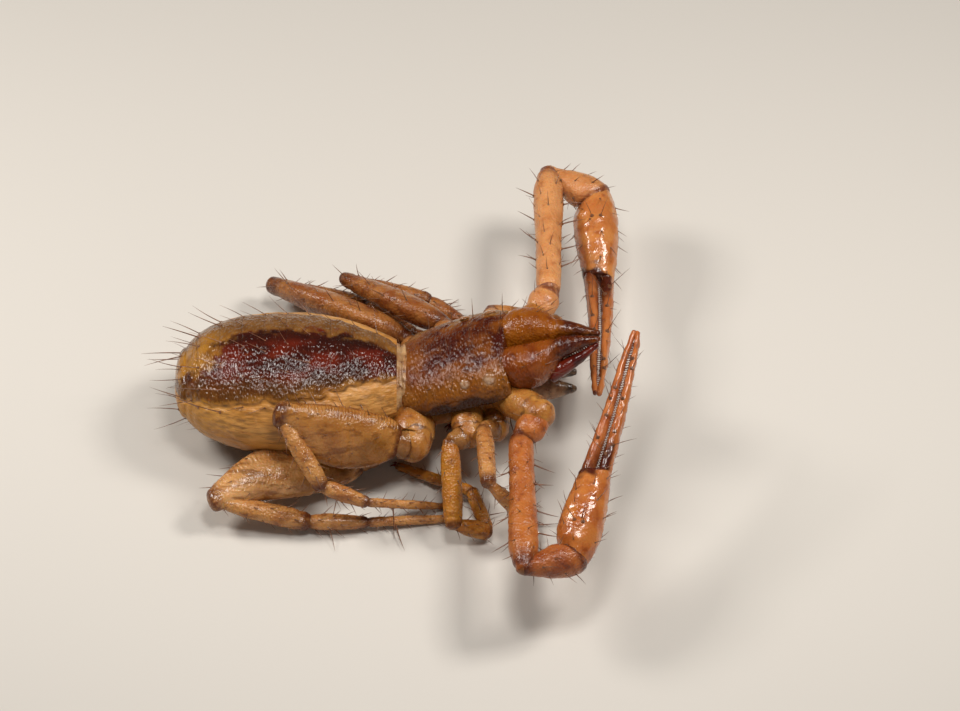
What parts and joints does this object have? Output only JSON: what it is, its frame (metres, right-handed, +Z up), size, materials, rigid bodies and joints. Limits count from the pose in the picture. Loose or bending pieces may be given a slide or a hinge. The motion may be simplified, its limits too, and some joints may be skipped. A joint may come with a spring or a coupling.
{
  "type": "pseudoscorpion",
  "caption": "Life-size still model of a standing pseudoscorpion with a plated oval hind body and long slender pincers folded forward beside its head.",
  "frame": {"origin": "on the floor, under the centre of the whole animal's box", "axes": "+X towards the head, +Y towards the animal's left, +Z up; the feet and the belly stand at z = 0"},
  "size_m": [0.002, 0.0022, 0.0007],
  "materials": {
    "abdomen": "glossy maroon back plates over dull ochre flanks",
    "carapace": "glossy amber brown",
    "coxae": "satin amber",
    "eye": "glossy pale lens",
    "chelicera": "glossy orange brown",
    "claw": "glossy dark maroon",
    "palp": "satin orange tan",
    "pincer_finger": "glossy reddish brown",
    "leg": "satin translucent tan"
  },
  "bodies": {
    "root": {"abdomen": "abdomen", "carapace": "carapace", "chelicera_left_finger": "claw", "chelicera_left_palm": "chelicera", "chelicera_right_finger": "claw", "chelicera_right_palm": "chelicera", "coxae": "coxae", "eye_front_left": "eye", "eye_front_right": "eye", "eye_rear_left": "eye", "eye_rear_right": "eye", "leg_1_left_femur": "leg", "leg_1_left_patella": "leg", "leg_1_left_tarsus": "leg", "leg_1_left_tibia": "leg", "leg_1_right_femur": "leg", "leg_1_right_patella": "leg", "leg_1_right_tarsus": "leg", "leg_1_right_tibia": "leg", "leg_2_left_femur": "leg", "leg_2_left_patella": "leg", "leg_2_left_tarsus": "leg", "leg_2_left_tibia": "leg", "leg_2_right_femur": "leg", "leg_2_right_patella": "leg", "leg_2_right_tarsus": "leg", "leg_2_right_tibia": "leg", "leg_3_left_femur": "leg", "leg_3_left_metatarsus": "leg", "leg_3_left_tarsus": "leg", "leg_3_left_tibia": "leg", "leg_3_right_femur": "leg", "leg_3_right_metatarsus": "leg", "leg_3_right_tarsus": "leg", "leg_3_right_tibia": "leg", "leg_4_left_femur": "leg", "leg_4_left_metatarsus": "leg", "leg_4_left_tarsus": "leg", "leg_4_left_tibia": "leg", "leg_4_right_femur": "leg", "leg_4_right_metatarsus": "leg", "leg_4_right_tarsus": "leg", "leg_4_right_tibia": "leg", "palp_left_femur": "palp", "palp_left_finger": "pincer_finger", "palp_left_hand": "palp", "palp_left_patella": "palp", "palp_left_trochanter": "palp", "palp_right_femur": "palp", "palp_right_finger": "pincer_finger", "palp_right_hand": "palp", "palp_right_patella": "palp", "palp_right_trochanter": "palp"}
  },
  "joints": []
}
